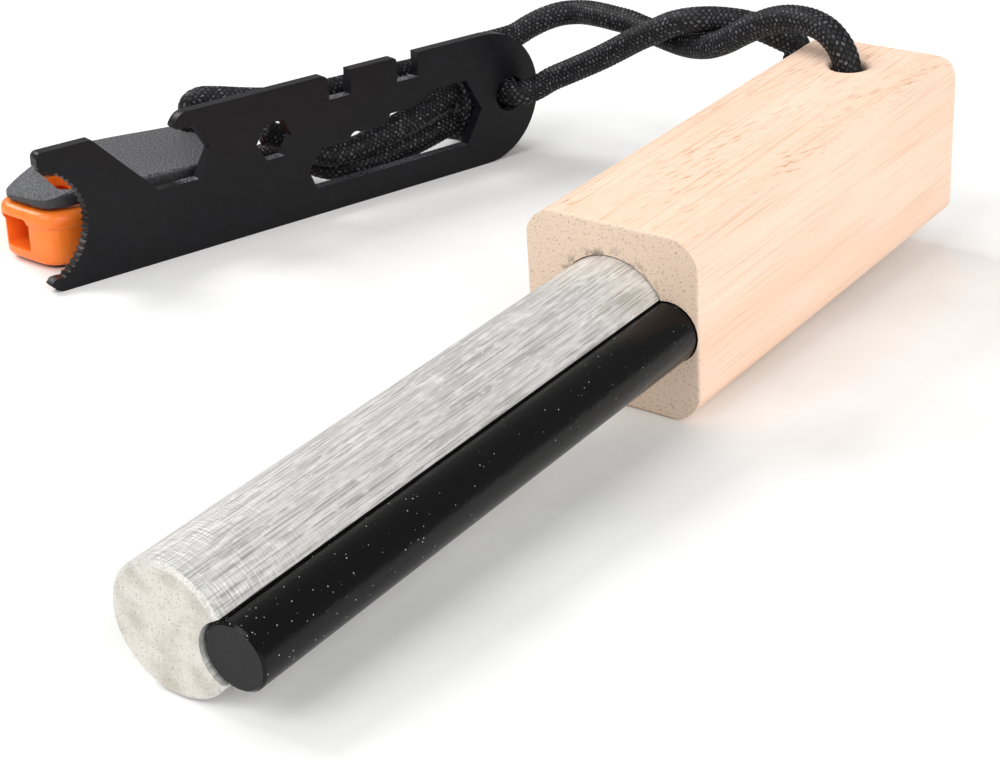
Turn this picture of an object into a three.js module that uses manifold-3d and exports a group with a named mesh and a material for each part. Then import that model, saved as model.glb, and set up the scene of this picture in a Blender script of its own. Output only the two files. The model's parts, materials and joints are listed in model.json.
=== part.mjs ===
// A ferro rod fire starter with its striker and whistle on one cord.
// A beech handle holds a magnesium rod with a ferro rod let into its side. A cord through the
// handle's end carries a flat steel striker and a flat whistle, and a knot behind the striker
// joins its strands. Lengths are millimetres, +Z is up and the floor is z = 0: the rods point
// to -X, and the striker and the whistle stand and lie beyond the handle, on its +Y side.
import * as THREE from "three";
import { mergeVertices } from "three/addons/utils/BufferGeometryUtils.js";
import Module from "manifold-3d";

const wasm = await Module();
wasm.setup();

// One clearance between pieces that touch, and one overrun for every cut.
const fit = 0.3;
const overrun = 2;

// Rods: round bar stock, the ferro rod sunk into the magnesium rod's side.
const magnesium = { radius: 8, bevel: 0.45, proud: 0.4 };
const ferro = { radius: 4, bevel: 0.3, axisDrop: 0.3 };
const rodOut = 80;
const rodInside = 20;
const adhesiveThickness = 1.2;
const glueLine = 0.15;

// Handle: a beech block, its long edges rounded, with a through hole for the cord.
const handle = {
  length: 73.4,
  width: 25.7,
  height: 25.3,
  edgeRadius: 5,
  rearTopRadius: 1.6,
  rearRadius: 2.8,
  frontEasing: 0.5,
  holeRadius: 2.6,
  holeFromRear: 10.4,
  holeEasing: 1,
  sideWall: 0.3,
  front: [2.65, -48.85],
};

// Striker: 1.8 mm steel plate standing on its long edge.
const striker = {
  length: 91.6,
  height: 22.2,
  thickness: 1.8,
  holeRadius: 3,
  holeFromEnd: 6,
  foot: [-10.29, 38.78],
  turn: -0.2495,
};
const driverSlot = { width: 4.2, depth: 4, first: 49, second: 62.3, cornerRadius: 1.2 };
const opener = {
  acrossFlats: 8.4,
  centre: 22.05,
  floor: 11.3,
  mouthWidth: 4.6,
  lipAt: 20.9,
  lipDrop: 1.8,
  lipLength: 2.6,
};
const scraper = { radius: 9, centreOut: 4, centreUp: 10.2, toothPitch: 1, toothDepth: 0.35 };
const arm = { drop: 0.6, end: 1.85, endRadius: 0.9, underAt: 18.8, rise: 3.6, cornerAt: 7.1 };
const toe = { reach: 1.8, height: 1.4, topHeight: 2.1, topReach: 1.2, flat: 0.6 };
const bitHole = { acrossFlats: 5.75, centre: 38.4, up: 14.1 };
const wrench = {
  floor: 4.4,
  left: 45.7,
  largeFlats: 11,
  largeCentre: 73.1,
  stepWidths: [6.25, 7.3, 8.9],
  stepEnds: [52.5, 59.5, 65.2],
  riseRun: 1.2,
  reliefRadius: 1.3,
  leftBulge: 1.3,
};

// Whistle: an orange body between two black shells, its mouth at one corner of the blunt end.
const whistle = {
  length: 40.2,
  width: 24.2,
  outlinePoints: 72,
  topInset: 1.1,
  underInset: 2.05,
  lipOverhang: 0.45,
  lipHeight: 2.9,
  lipRadius: 1.2,
  underThickness: 0.7,
  bodyStand: 0.55,
  bodyHeight: 8.55,
  topThickness: 2.3,
  edgeRadius: 0.6,
  footRadius: 1.1,
  noseFall: 1.4,
  noseRun: 7.5,
  noseAt: 0.7,
  mouthWidth: 5.6,
  mouthHeight: 5.2,
  mouthUp: 1.85,
  mouthAt: [1.1, -5.1],
  mouthTurn: 0.342,
  mouthCorner: 0.5,
  channelLength: 9.5,
  chamberFrom: 9,
  chamberLength: 15,
  chamberNear: -9.4,
  chamberSpan: 14.4,
  windowFrom: 7.7,
  windowLength: 4.4,
  windowNear: -9.4,
  windowSpan: 13.6,
  holeRadius: 2.5,
  holeFromTail: 4.5,
  holeAcross: 6.7,
  reliefHeight: 4.9,
  reliefReach: 3.2,
  tip: [-5.21, 57.69],
  turn: -0.4189,
};

// Its outline seen from above, chosen by hand as shares of its length and width, from the
// tail's near corner round the mouth.
const whistlePlanShares = [
  [0.896, -0.446],
  [0.697, -0.463],
  [0.448, -0.483],
  [0.229, -0.5],
  [0.147, -0.498],
  [0.1, -0.467],
  [0.072, -0.413],
  [0.045, -0.306],
  [0.02, -0.198],
  [0.005, -0.103],
  [0.017, -0.021],
  [0.055, 0.054],
  [0.124, 0.153],
  [0.206, 0.264],
  [0.308, 0.393],
  [0.423, 0.463],
  [0.547, 0.475],
  [0.721, 0.463],
  [0.883, 0.446],
  [0.95, 0.417],
  [0.988, 0.347],
  [1, 0.248],
  [1, 0],
  [1, -0.248],
  [0.988, -0.347],
  [0.953, -0.417],
];

// Cord: one black braided cord of 4 mm, a little flattened where the handle stands on it.
const cord = { radius: 2, pressedRadius: 1.6, sides: 10, stepsPerPoint: 1 };
const knot = { turns: 3, wrapRadius: 2.3, coreRadius: 5.2, centre: [73.56, 27.64, 8.2], seat: 2.2 };

// Routes of the cord's stretches, chosen by hand, from the knot or the hole that they leave.
const frontStrandRoute = [
  [65.3, -48.85, 8.6],
  [64.9, -48.85, 13],
  [64.6, -48.85, 18],
  [64.3, -48.85, 23],
  [64.2, -48.75, 26.6],
  [64.2, -48.45, 28.8],
  [64.3, -47.65, 30.6],
  [64.6, -46.35, 32],
  [65.2, -44.35, 33.1],
  [65.9, -41.85, 33.6],
  [66.5, -39.45, 33.6],
  [67.1, -36.75, 33.2],
  [67.8, -33.75, 32.2],
  [68.5, -30.95, 30.8],
  [69.3, -28.15, 29.2],
  [70.6, -24.65, 27.1],
  [72.2, -20.95, 25.4],
  [74.4, -16.85, 24.2],
  [76.2, -13.15, 23.7],
  [77.7, -9.85, 23.6],
  [78.7, -7.05, 23.7],
  [79.5, -4.15, 23.9],
  [80.6, -0.75, 24.1],
  [81.6, 2.75, 24],
  [83, 6.45, 23.7],
  [85.3, 11.95, 22.8],
  [84.5, 15.05, 22.3],
  [83.1, 17.55, 21.4],
  [81.4, 19.75, 20.1],
  [79.4, 21.25, 18.9],
  [76.5, 22.65, 18.5],
  [73.6, 23.85, 18.3],
  [71.2, 24.95, 17.7],
  [69, 25.95, 16.6],
];
const underRoute = [
  [65.3, -48.85, 8.2],
  [65.35, -48.85, 6.2],
  [65.5, -48.65, 4.3],
  [65.6, -47.75, 2.6],
  [65.6, -46.05, 1.85],
  [65.6, -42.95, 1.8],
  [65.5, -39.45, 1.8],
  [65.4, -36.45, 2],
  [65.3, -34.45, 3.2],
  [65.2, -33.65, 5.2],
  [65.1, -33.55, 7.4],
  [65.2, -33.55, 9.4],
];
const rearStrandRoute = [
  [65.2, -33.55, 10],
  [65.9, -33.55, 12.4],
  [67.8, -33.55, 14.9],
  [70.2, -33.55, 17.4],
  [72.6, -33.55, 19.6],
  [74.8, -33.65, 21.6],
  [76.2, -33.75, 23.6],
  [76.7, -33.65, 26.3],
  [76.3, -32.15, 27],
  [75.8, -30.45, 27.7],
  [75.3, -28.45, 28.4],
  [75.1, -25.45, 28.9],
  [74.7, -22.75, 29],
  [74.1, -20.55, 29],
  [73.2, -18.55, 28.9],
  [72.9, -16.15, 28.4],
  [72.9, -13.55, 27.5],
  [73.1, -10.85, 26.1],
  [73.6, -6.75, 23.9],
  [74.5, -2.75, 21.5],
  [75, 1.15, 19.2],
  [75.4, 7.15, 16],
  [75.3, 10.95, 14],
  [74.4, 13.45, 12.3],
  [73.1, 15.35, 11.4],
  [72.7, 17.05, 11.2],
  [72.9, 18.65, 11.1],
  [73.3, 20.35, 11.1],
  [73.8, 22.35, 11.1],
];
const whistleUpperRoute = [
  [68.7, 29.05, 14.2],
  [66.3, 29.35, 15.1],
  [63.5, 29.45, 15.8],
  [60.5, 29.35, 16.2],
  [53.4, 31.45, 16.3],
  [47.2, 33.65, 16.1],
  [43.1, 35.45, 16],
  [39.7, 37.55, 16],
  [36.8, 40.05, 16],
  [34.4, 43.05, 16.2],
  [32.4, 46.05, 16.4],
  [30.8, 48.45, 16.3],
  [30, 49.65, 15.3],
  [29.9, 49.65, 13.7],
  [30, 49.35, 12],
  [30.1, 49.25, 9.8],
  [30.1, 49.25, 7.6],
];
const whistleLowerRoute = [
  [30.1, 49.25, 7.2],
  [30.1, 49.25, 5.4],
  [30.5, 49.15, 3.7],
  [31.8, 48.85, 2.6],
  [33.5, 48.45, 2.3],
  [36, 47.75, 2.3],
  [38.6, 46.65, 2.9],
  [41, 44.75, 4.1],
  [42.7, 41.95, 4.7],
  [43.6, 38.25, 4],
  [45.1, 34.65, 3.1],
  [47.7, 31.75, 3],
  [51.9, 29.75, 3.6],
  [56.2, 28.55, 4.4],
  [60.6, 27.45, 5.2],
  [64.4, 26.65, 6.3],
  [68, 26.35, 7.4],
];
const tailRoute = [
  [67.7, 25.35, 12.2],
  [64.3, 25.95, 11.6],
  [61.2, 26.45, 10.7],
  [56.3, 27.15, 9.4],
  [51.2, 28.35, 8.3],
  [46.4, 29.75, 7.5],
  [42.4, 31.75, 7.3],
  [39.1, 34.25, 9],
  [36.3, 36.85, 11.3],
  [33.8, 38.65, 12.6],
];

const roundSides = 48;
const smallSides = 28;
const cornerSteps = 6;
const QUARTER = Math.PI / 2;
const SIXTH = Math.PI / 3;

// Solids: a closed geometry as a solid for joins and cuts, and back again.
function solidOf(geometry) {
  const bare = geometry.clone();
  bare.deleteAttribute("normal");
  bare.deleteAttribute("uv");
  const merged = mergeVertices(bare);
  return new wasm.Manifold(
    new wasm.Mesh({
      numProp: 3,
      vertProperties: merged.getAttribute("position").array,
      triVerts: new Uint32Array(merged.index.array),
    }),
  );
}

function geometryOf(solid) {
  const mesh = solid.getMesh();
  const geometry = new THREE.BufferGeometry();
  geometry.setAttribute("position", new THREE.BufferAttribute(mesh.vertProperties, 3));
  geometry.setIndex(new THREE.BufferAttribute(mesh.triVerts, 1));
  const flat = geometry.toNonIndexed();
  flat.computeVertexNormals();
  return flat;
}

function named(name, geometry, material) {
  const mesh = new THREE.Mesh(geometry, material);
  mesh.name = name;
  return mesh;
}

// Extrusions along each axis, from the outline's own plane.
const alongX = new THREE.Matrix4().makeBasis(
  new THREE.Vector3(0, 1, 0),
  new THREE.Vector3(0, 0, 1),
  new THREE.Vector3(1, 0, 0),
);
const alongMinusY = new THREE.Matrix4().makeBasis(
  new THREE.Vector3(1, 0, 0),
  new THREE.Vector3(0, 0, 1),
  new THREE.Vector3(0, -1, 0),
);

function extruded(shape, depth, settings = {}) {
  const plain = { depth, bevelEnabled: false, curveSegments: cornerSteps };
  return new THREE.ExtrudeGeometry(shape, { ...plain, ...settings });
}

// A plate of an outline whose edges are rounded within its own size.
function roundedPlate(shape, depth, radius, segments = 3) {
  return extruded(shape, depth - 2 * radius, {
    bevelEnabled: true,
    bevelThickness: radius,
    bevelSize: radius,
    bevelOffset: -radius,
    bevelSegments: segments,
  }).translate(0, 0, radius);
}

function roundedRectangle(left, bottom, right, top, radii) {
  const [lowerLeft, lowerRight, upperRight, upperLeft] = radii;
  const shape = new THREE.Shape();
  shape.moveTo(left + lowerLeft, bottom);
  shape.lineTo(right - lowerRight, bottom);
  shape.absarc(right - lowerRight, bottom + lowerRight, lowerRight, -QUARTER, 0, false);
  shape.lineTo(right, top - upperRight);
  shape.absarc(right - upperRight, top - upperRight, upperRight, 0, QUARTER, false);
  shape.lineTo(left + upperLeft, top);
  shape.absarc(left + upperLeft, top - upperLeft, upperLeft, QUARTER, 2 * QUARTER, false);
  shape.lineTo(left, bottom + lowerLeft);
  shape.absarc(left + lowerLeft, bottom + lowerLeft, lowerLeft, 2 * QUARTER, 3 * QUARTER, false);
  return shape;
}

// Round bar along +X from x = 0, with a bevel at its start.
function bar(radius, length, bevel, sides) {
  const profile = [
    new THREE.Vector2(0, 0),
    new THREE.Vector2(radius - bevel, 0),
    new THREE.Vector2(radius, bevel),
    new THREE.Vector2(radius, length),
    new THREE.Vector2(0, length),
  ];
  return new THREE.LatheGeometry(profile, sides).rotateZ(-QUARTER);
}

function upright(radius, length, sides) {
  const cylinder = new THREE.CylinderGeometry(radius, radius, length, sides);
  return cylinder.rotateX(QUARTER).translate(0, 0, length / 2);
}

// The handle's own frame: x from its front face to the rear, y across, z up from the underside.
// The nose stands on the front edge and on the rod's tip, so the block leans by this much.
const tipReach = rodOut + magnesium.proud;
const magnesiumAxis = handle.height / 2;
const ferroAxis = magnesiumAxis - ferro.axisDrop;
const ferroOut = handle.width / 2 - handle.sideWall - glueLine - ferro.radius;
const handleLean = Math.atan2(magnesiumAxis - magnesium.radius, tipReach - magnesium.bevel);
const socketDepth = rodInside + adhesiveThickness + 2 * fit;
const handleHole = handle.length - handle.holeFromRear;

function handleBlock() {
  const { length, width, height, edgeRadius, rearTopRadius, rearRadius, frontEasing } = handle;
  const section = roundedRectangle(-width / 2, 0, width / 2, height, Array(4).fill(edgeRadius));
  const sideRadii = [frontEasing, rearRadius, rearTopRadius, frontEasing];
  const planRadii = [frontEasing, rearRadius, rearRadius, frontEasing];
  const side = roundedRectangle(0, 0, length, height, sideRadii);
  const plan = roundedRectangle(0, -width / 2, length, width / 2, planRadii);
  const lengthwise = solidOf(
    extruded(section, length + 2 * overrun).applyMatrix4(alongX).translate(-overrun, 0, 0),
  );
  const crosswise = solidOf(
    extruded(side, width + 2 * overrun).applyMatrix4(alongMinusY).translate(0, width / 2 + overrun, 0),
  );
  const upwards = solidOf(extruded(plan, height + 2 * overrun).translate(0, 0, -overrun));
  return lengthwise.intersect(crosswise).intersect(upwards);
}

// Cord hole through the handle, its two mouths eased by a quarter round.
function handleHoleCutter() {
  const { height, holeRadius, holeEasing } = handle;
  const profile = [
    new THREE.Vector2(0, -overrun),
    new THREE.Vector2(holeRadius + holeEasing, -overrun),
  ];
  for (let i = 0; i <= cornerSteps; i += 1) {
    const angle = (QUARTER * i) / cornerSteps;
    const out = holeRadius + holeEasing * (1 - Math.sin(angle));
    profile.push(new THREE.Vector2(out, holeEasing * (1 - Math.cos(angle))));
  }
  const mirrored = profile.map((p) => new THREE.Vector2(p.x, height - p.y)).reverse();
  return new THREE.LatheGeometry([...profile, ...mirrored], smallSides).rotateX(QUARTER);
}

// The outline of both rods together, as the socket and the adhesive have it.
function rodPair(spare, start, length) {
  const main = bar(magnesium.radius + spare, length, 0, roundSides).translate(start, 0, magnesiumAxis);
  const side = bar(ferro.radius + spare, length, 0, smallSides).translate(start, -ferroOut, ferroAxis);
  return solidOf(main).add(solidOf(side));
}

function makeHandle(material) {
  const socket = rodPair(glueLine, -overrun, socketDepth + overrun);
  const hole = solidOf(handleHoleCutter().translate(handleHole, 0, 0));
  return named("handle", geometryOf(handleBlock().subtract(socket).subtract(hole)), material);
}

function makeMagnesiumRod(material) {
  const { radius, bevel } = magnesium;
  const length = tipReach + rodInside;
  const body = solidOf(bar(radius, length, bevel, roundSides));
  const groove = bar(ferro.radius + fit, length + 2 * overrun, 0, smallSides).translate(
    -overrun,
    -ferroOut,
    -ferro.axisDrop,
  );
  const rod = geometryOf(body.subtract(solidOf(groove)));
  return named("magnesium_rod", rod.translate(-tipReach, 0, magnesiumAxis), material);
}

function makeFerroRod(material) {
  const rod = bar(ferro.radius, rodOut + rodInside, ferro.bevel, smallSides);
  return named("ferro_rod", rod.translate(-rodOut, -ferroOut, ferroAxis), material);
}

function makeAdhesive(material) {
  const pad = rodPair(0, rodInside + fit, adhesiveThickness);
  return named("rod_adhesive", geometryOf(pad), material);
}

// The striker's own frame: x along the plate from its toe, y up, z towards the front face.
const strikerHole = striker.length - striker.holeFromEnd;
const strikerMiddle = striker.height / 2;

function hexagon(path, x, y, acrossFlats) {
  const corner = acrossFlats / 2 / Math.cos(SIXTH / 2);
  for (let i = 0; i < 6; i += 1) {
    const point = [x + corner * Math.cos(-i * SIXTH), y + corner * Math.sin(-i * SIXTH)];
    if (i === 0) path.moveTo(...point);
    else path.lineTo(...point);
  }
  path.closePath();
}

// Driver slots in the top edge, run from right to left, the left one with a rounded lead.
function addDriverSlots(outline) {
  const { width, depth, first, second, cornerRadius } = driverSlot;
  const { height } = striker;
  for (const start of [second, first]) {
    const shoulder = start === first ? cornerRadius : cornerRadius / 2;
    outline.lineTo(start + width, height);
    outline.lineTo(start + width, height - depth);
    outline.lineTo(start, height - depth);
    outline.lineTo(start, height - shoulder);
    outline.absarc(start - shoulder, height - shoulder, shoulder, 0, QUARTER, false);
  }
}

// Bottle opener: a hook over the upper half of a hexagonal throat, open to the upper left.
function addOpener(outline) {
  const { acrossFlats, centre, floor, mouthWidth, lipAt, lipDrop, lipLength } = opener;
  const { height } = striker;
  const apothem = acrossFlats / 2;
  const corner = apothem / Math.cos(SIXTH / 2);
  const lipUnder = floor + acrossFlats;
  outline.lineTo(lipAt + lipLength, height);
  outline.quadraticCurveTo(lipAt + lipLength / 3, height, lipAt, height - lipDrop);
  outline.quadraticCurveTo(lipAt, lipUnder, lipAt + lipLength / 2, lipUnder);
  outline.lineTo(centre + corner / 2, lipUnder);
  outline.lineTo(centre + corner, floor + apothem);
  outline.lineTo(centre + corner / 2, floor);
  outline.lineTo(centre - mouthWidth, floor);
}

// Hooked scraper: a hollow of small scalloped teeth between the arm's end and the toe.
function addScraper(outline) {
  const { radius, centreOut, centreUp, toothPitch, toothDepth } = scraper;
  const from = Math.asin((striker.height - arm.rise - centreUp - arm.drop) / radius);
  const to = -Math.acos(centreOut / radius);
  const teeth = Math.round(((from - to) * radius) / toothPitch);
  const at = (angle, r) => [-centreOut + r * Math.cos(angle), centreUp + r * Math.sin(angle)];
  outline.lineTo(...at(from, radius));
  for (let i = 0; i < teeth; i += 1) {
    const span = (to - from) / teeth;
    const start = from + i * span;
    outline.lineTo(...at(start + span / 4, radius + toothDepth * Math.SQRT1_2));
    outline.lineTo(...at(start + span / 2, radius + toothDepth));
    outline.lineTo(...at(start + (3 * span) / 4, radius + toothDepth * Math.SQRT1_2));
    outline.lineTo(...at(start + span, radius));
  }
}

function strikerOutline() {
  const { length, height } = striker;
  const armTop = height - arm.drop;
  const outline = new THREE.Shape();
  outline.moveTo(toe.flat, 0);
  outline.lineTo(length - strikerMiddle, 0);
  outline.absarc(length - strikerMiddle, strikerMiddle, strikerMiddle, -QUARTER, QUARTER, false);
  addDriverSlots(outline);
  addOpener(outline);
  outline.lineTo(arm.cornerAt, armTop);
  const roundAt = arm.endRadius - arm.end;
  outline.lineTo(roundAt, armTop);
  outline.absarc(roundAt, armTop - arm.endRadius, arm.endRadius, QUARTER, 2 * QUARTER, false);
  outline.lineTo(-arm.end, arm.underAt + arm.endRadius);
  outline.absarc(roundAt, arm.underAt + arm.endRadius, arm.endRadius, 2 * QUARTER, 3 * QUARTER, false);
  addScraper(outline);
  outline.lineTo(-toe.topReach, toe.topHeight);
  outline.lineTo(-toe.reach, toe.height);
  outline.quadraticCurveTo(-toe.reach / 2, 0, toe.flat, 0);
  return outline;
}

// Stepped wrench slot: three widths of open-ended flats, then a large hexagon at its right end.
function wrenchSlot() {
  const { floor, left, largeFlats, largeCentre, stepWidths, stepEnds, riseRun, reliefRadius } = wrench;
  const corner = largeFlats / 2 / Math.cos(SIXTH / 2);
  const [small, middle, large] = stepWidths.map((w) => floor + w);
  const path = new THREE.Path();
  path.moveTo(left, floor);
  path.lineTo(left - wrench.leftBulge, floor + (small - floor) / 2);
  path.lineTo(left + wrench.leftBulge, small);
  path.lineTo(stepEnds[0], small);
  path.absarc(stepEnds[0] + reliefRadius, small, reliefRadius, 2 * QUARTER, QUARTER / 2, true);
  path.lineTo(stepEnds[0] + 2 * reliefRadius, middle);
  path.lineTo(stepEnds[1], middle);
  path.lineTo(stepEnds[1] + riseRun, large);
  path.lineTo(stepEnds[2], large);
  path.lineTo(largeCentre - corner / 2, floor + largeFlats);
  path.lineTo(largeCentre + corner / 2, floor + largeFlats);
  path.lineTo(largeCentre + corner, floor + largeFlats / 2);
  path.lineTo(largeCentre + corner / 2, floor);
  path.closePath();
  return path;
}

function makeStriker(material) {
  const outline = strikerOutline();
  const lanyardHole = new THREE.Path();
  lanyardHole.absarc(strikerHole, strikerMiddle, striker.holeRadius, 0, 4 * QUARTER, true);
  const bit = new THREE.Path();
  hexagon(bit, bitHole.centre, bitHole.up, bitHole.acrossFlats);
  outline.holes.push(lanyardHole, bit, wrenchSlot());
  const plate = extruded(outline, striker.thickness, { curveSegments: 2 * cornerSteps });
  return named("striker", geometryOf(solidOf(plate)), material);
}

// The whistle's own frame: x from the mouth to the tail, y across, z up from the floor.
const bodyTop = whistle.bodyStand + whistle.bodyHeight;
const topFloor = bodyTop + fit;
const whistleHole = [whistle.length - whistle.holeFromTail, whistle.holeAcross];

// The outline as a smooth closed curve, moved in along its own normals.
function whistleOutline(inset) {
  const curve = new THREE.CatmullRomCurve3(
    whistlePlanShares.map(([x, y]) => new THREE.Vector3(x * whistle.length, -y * whistle.width, 0)),
    true,
    "centripetal",
  );
  const count = whistle.outlinePoints;
  const corners = Array.from({ length: count }, (_, i) => {
    const point = curve.getPointAt(i / count);
    const along = curve.getTangentAt(i / count);
    return new THREE.Vector2(point.x - inset * along.y, -(point.y + inset * along.x));
  });
  return new THREE.Shape(corners);
}

// Cord hole through the lug, and the corner below it left open for the cord to run out.
function whistleHoleCutter() {
  const height = topFloor + whistle.topThickness + 2 * overrun;
  return solidOf(upright(whistle.holeRadius, height, smallSides).translate(...whistleHole, -overrun));
}

function whistleReliefCutter() {
  const { reliefHeight, reliefReach, holeRadius } = whistle;
  const reach = 4 * reliefReach;
  const [left, near] = whistleHole.map((place) => place - reliefReach);
  const shape = roundedRectangle(left, near, left + reach, near + reach, [holeRadius, 0, 0, 0]);
  return solidOf(extruded(shape, reliefHeight + overrun).translate(0, 0, -overrun));
}

function makeWhistleUnder(material) {
  const { underInset, underThickness } = whistle;
  const shell = solidOf(extruded(whistleOutline(underInset), underThickness));
  return named("whistle_bottom_shell", geometryOf(shell.subtract(whistleReliefCutter())), material);
}

// The mouth opens into a slanting channel, and that into a chamber under the window in the roof.
function whistleAirway() {
  const { mouthWidth, mouthHeight, mouthUp, mouthAt, mouthTurn, mouthCorner, channelLength } = whistle;
  const { chamberFrom, chamberLength, chamberNear, chamberSpan } = whistle;
  const { windowFrom, windowLength, windowNear, windowSpan } = whistle;
  const floor = whistle.bodyStand + mouthUp;
  const corners = Array(4).fill(mouthCorner);
  const mouth = roundedRectangle(-mouthWidth / 2, 0, mouthWidth / 2, mouthHeight, corners);
  const chamber = roundedRectangle(chamberNear, 0, chamberNear + chamberSpan, mouthHeight, corners);
  const window = roundedRectangle(
    windowFrom,
    windowNear,
    windowFrom + windowLength,
    windowNear + windowSpan,
    Array(4).fill(windowLength / 3),
  );
  const channelCut = extruded(mouth, channelLength + overrun)
    .applyMatrix4(alongX)
    .translate(-overrun, 0, 0)
    .rotateZ(mouthTurn)
    .translate(...mouthAt, floor);
  const chamberCut = extruded(chamber, chamberLength)
    .applyMatrix4(alongX)
    .translate(chamberFrom, 0, floor);
  const windowFloor = floor + mouthHeight / 2;
  const windowCut = extruded(window, bodyTop + overrun - windowFloor).translate(0, 0, windowFloor);
  return solidOf(channelCut).add(solidOf(chamberCut)).add(solidOf(windowCut));
}

// A bead runs round the body's top, and the lower shell sits in a shallow seat in its underside.
function makeWhistleBody(material) {
  const { bodyStand, bodyHeight, lipOverhang, lipHeight, lipRadius, footRadius } = whistle;
  const lower = roundedPlate(whistleOutline(lipOverhang), bodyHeight - lipRadius, footRadius, 4);
  const lip = roundedPlate(whistleOutline(0), lipHeight, lipRadius, 4);
  const seated = solidOf(lip.translate(0, 0, bodyTop - lipHeight));
  const body = solidOf(lower.translate(0, 0, bodyStand)).add(seated);
  const seatDepth = whistle.underThickness + fit + overrun;
  const seat = solidOf(extruded(whistleOutline(whistle.underInset - fit), seatDepth));
  const airway = whistleAirway().add(seat.translate([0, 0, -overrun]));
  const hollow = airway.add(whistleHoleCutter()).add(whistleReliefCutter());
  return named("whistle_body", geometryOf(body.subtract(hollow)), material);
}

// The top falls towards the mouth, and a slot with rounded ends opens over the window.
function makeWhistleTop(material) {
  const { topThickness, topInset, edgeRadius, noseFall, noseRun, noseAt } = whistle;
  const { windowFrom, windowLength, windowNear, windowSpan } = whistle;
  const shell = solidOf(roundedPlate(whistleOutline(topInset), topThickness, edgeRadius));
  const fall = Math.atan2(noseFall, noseRun);
  const nose = new THREE.BoxGeometry(2 * noseRun, 4 * noseRun, topThickness)
    .translate(-noseRun, 0, topThickness / 2)
    .rotateY(-fall)
    .translate(noseAt + noseRun, 0, topThickness);
  const opening = roundedRectangle(
    windowFrom - fit,
    windowNear - fit,
    windowFrom + windowLength + fit,
    windowNear + windowSpan + fit,
    Array(4).fill(windowLength / 2),
  );
  const window = extruded(opening, topThickness + 2 * overrun).translate(0, 0, -overrun);
  const open = shell.subtract(solidOf(nose)).subtract(solidOf(window));
  const raised = open.translate([0, 0, topFloor]).subtract(whistleHoleCutter());
  return named("whistle_top_shell", geometryOf(raised), material);
}

// A route whose steps follow its own points, so that a tight bend gets the steps it needs.
class Route extends THREE.CatmullRomCurve3 {
  constructor(points) {
    super(
      points.map((p) => new THREE.Vector3(...p)),
      false,
      "centripetal",
    );
  }
  getUtoTmapping(u) {
    return u;
  }
}

function circleShape(radius) {
  const corners = Array.from({ length: cord.sides }, (_, i) => {
    const angle = (4 * QUARTER * i) / cord.sides;
    return new THREE.Vector2(radius * Math.cos(angle), radius * Math.sin(angle));
  });
  return new THREE.Shape(corners);
}

function cordTube(points, radius) {
  const extrudePath = new Route(points);
  const steps = (points.length - 1) * cord.stepsPerPoint;
  return new THREE.ExtrudeGeometry(circleShape(radius), { steps, extrudePath, bevelEnabled: false });
}

// Seat of a strand in the knot: a round recess around the strand's last stretch.
function strandSeat(end, before) {
  const tip = new THREE.Vector3(...end);
  const along = tip.clone().sub(new THREE.Vector3(...before)).normalize();
  const deep = tip.clone().addScaledVector(along, fit);
  const out = tip.clone().addScaledVector(along, -4 * knot.seat);
  const seatRadius = cord.radius + fit;
  const seat = new THREE.CylinderGeometry(seatRadius, seatRadius, deep.distanceTo(out), smallSides);
  seat.applyQuaternion(new THREE.Quaternion().setFromUnitVectors(new THREE.Vector3(0, 1, 0), along));
  const middle = deep.clone().add(out).multiplyScalar(1 / 2);
  return solidOf(seat.translate(middle.x, middle.y, middle.z));
}

// Barrel knot: the cord's turns side by side round the strands that it holds together.
function makeKnot(material) {
  const { turns, wrapRadius, coreRadius, centre } = knot;
  const profile = [new THREE.Vector2(0, 0)];
  for (let turn = 0; turn < turns; turn += 1) {
    for (let i = 0; i <= cornerSteps; i += 1) {
      const angle = (2 * QUARTER * i) / cornerSteps;
      if (turn > 0 && i === 0) continue;
      const along = wrapRadius * (2 * turn + 1 - Math.cos(angle));
      profile.push(new THREE.Vector2(coreRadius + wrapRadius * Math.sin(angle), along));
    }
  }
  profile.push(new THREE.Vector2(0, 2 * turns * wrapRadius));
  const barrel = new THREE.LatheGeometry(profile, smallSides)
    .translate(0, -turns * wrapRadius, 0)
    .rotateZ(-QUARTER)
    .rotateZ(striker.turn)
    .translate(...centre);
  const ends = [
    [frontStrandRoute.at(-1), frontStrandRoute.at(-2)],
    [rearStrandRoute.at(-1), rearStrandRoute.at(-2)],
    [whistleUpperRoute[0], whistleUpperRoute[1]],
    [whistleLowerRoute.at(-1), whistleLowerRoute.at(-2)],
    [tailRoute[0], tailRoute[1]],
  ];
  const seats = ends.map(([end, before]) => strandSeat(end, before));
  const seated = seats.reduce((solid, seat) => solid.subtract(seat), solidOf(barrel));
  return named("lanyard_knot", geometryOf(seated), material);
}

// Materials: colours, roughness and metalness of the real pieces.
const material = (color, roughness, metalness = 0) =>
  new THREE.MeshStandardMaterial({ color, roughness, metalness });
const beech = material(0xf2d3b4, 0.65);
const magnesiumMetal = material(0xa9a7a1, 0.55, 0.8);
const ferroAlloy = material(0x1c1c1f, 0.25, 0.7);
const epoxy = material(0xd8c9a0, 0.3);
const coatedSteel = material(0x242427, 0.45, 0.5);
const braid = material(0x141416, 0.85);
const blackPlastic = material(0x2b2b2d, 0.7);
const orangePlastic = material(0xff6a1a, 0.3);

const fireStarter = new THREE.Group();

const handleGroup = new THREE.Group();
handleGroup.position.set(handle.front[0], handle.front[1], 0);
handleGroup.rotation.y = -handleLean;
handleGroup.add(
  makeHandle(beech),
  makeMagnesiumRod(magnesiumMetal),
  makeFerroRod(ferroAlloy),
  makeAdhesive(epoxy),
);

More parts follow.
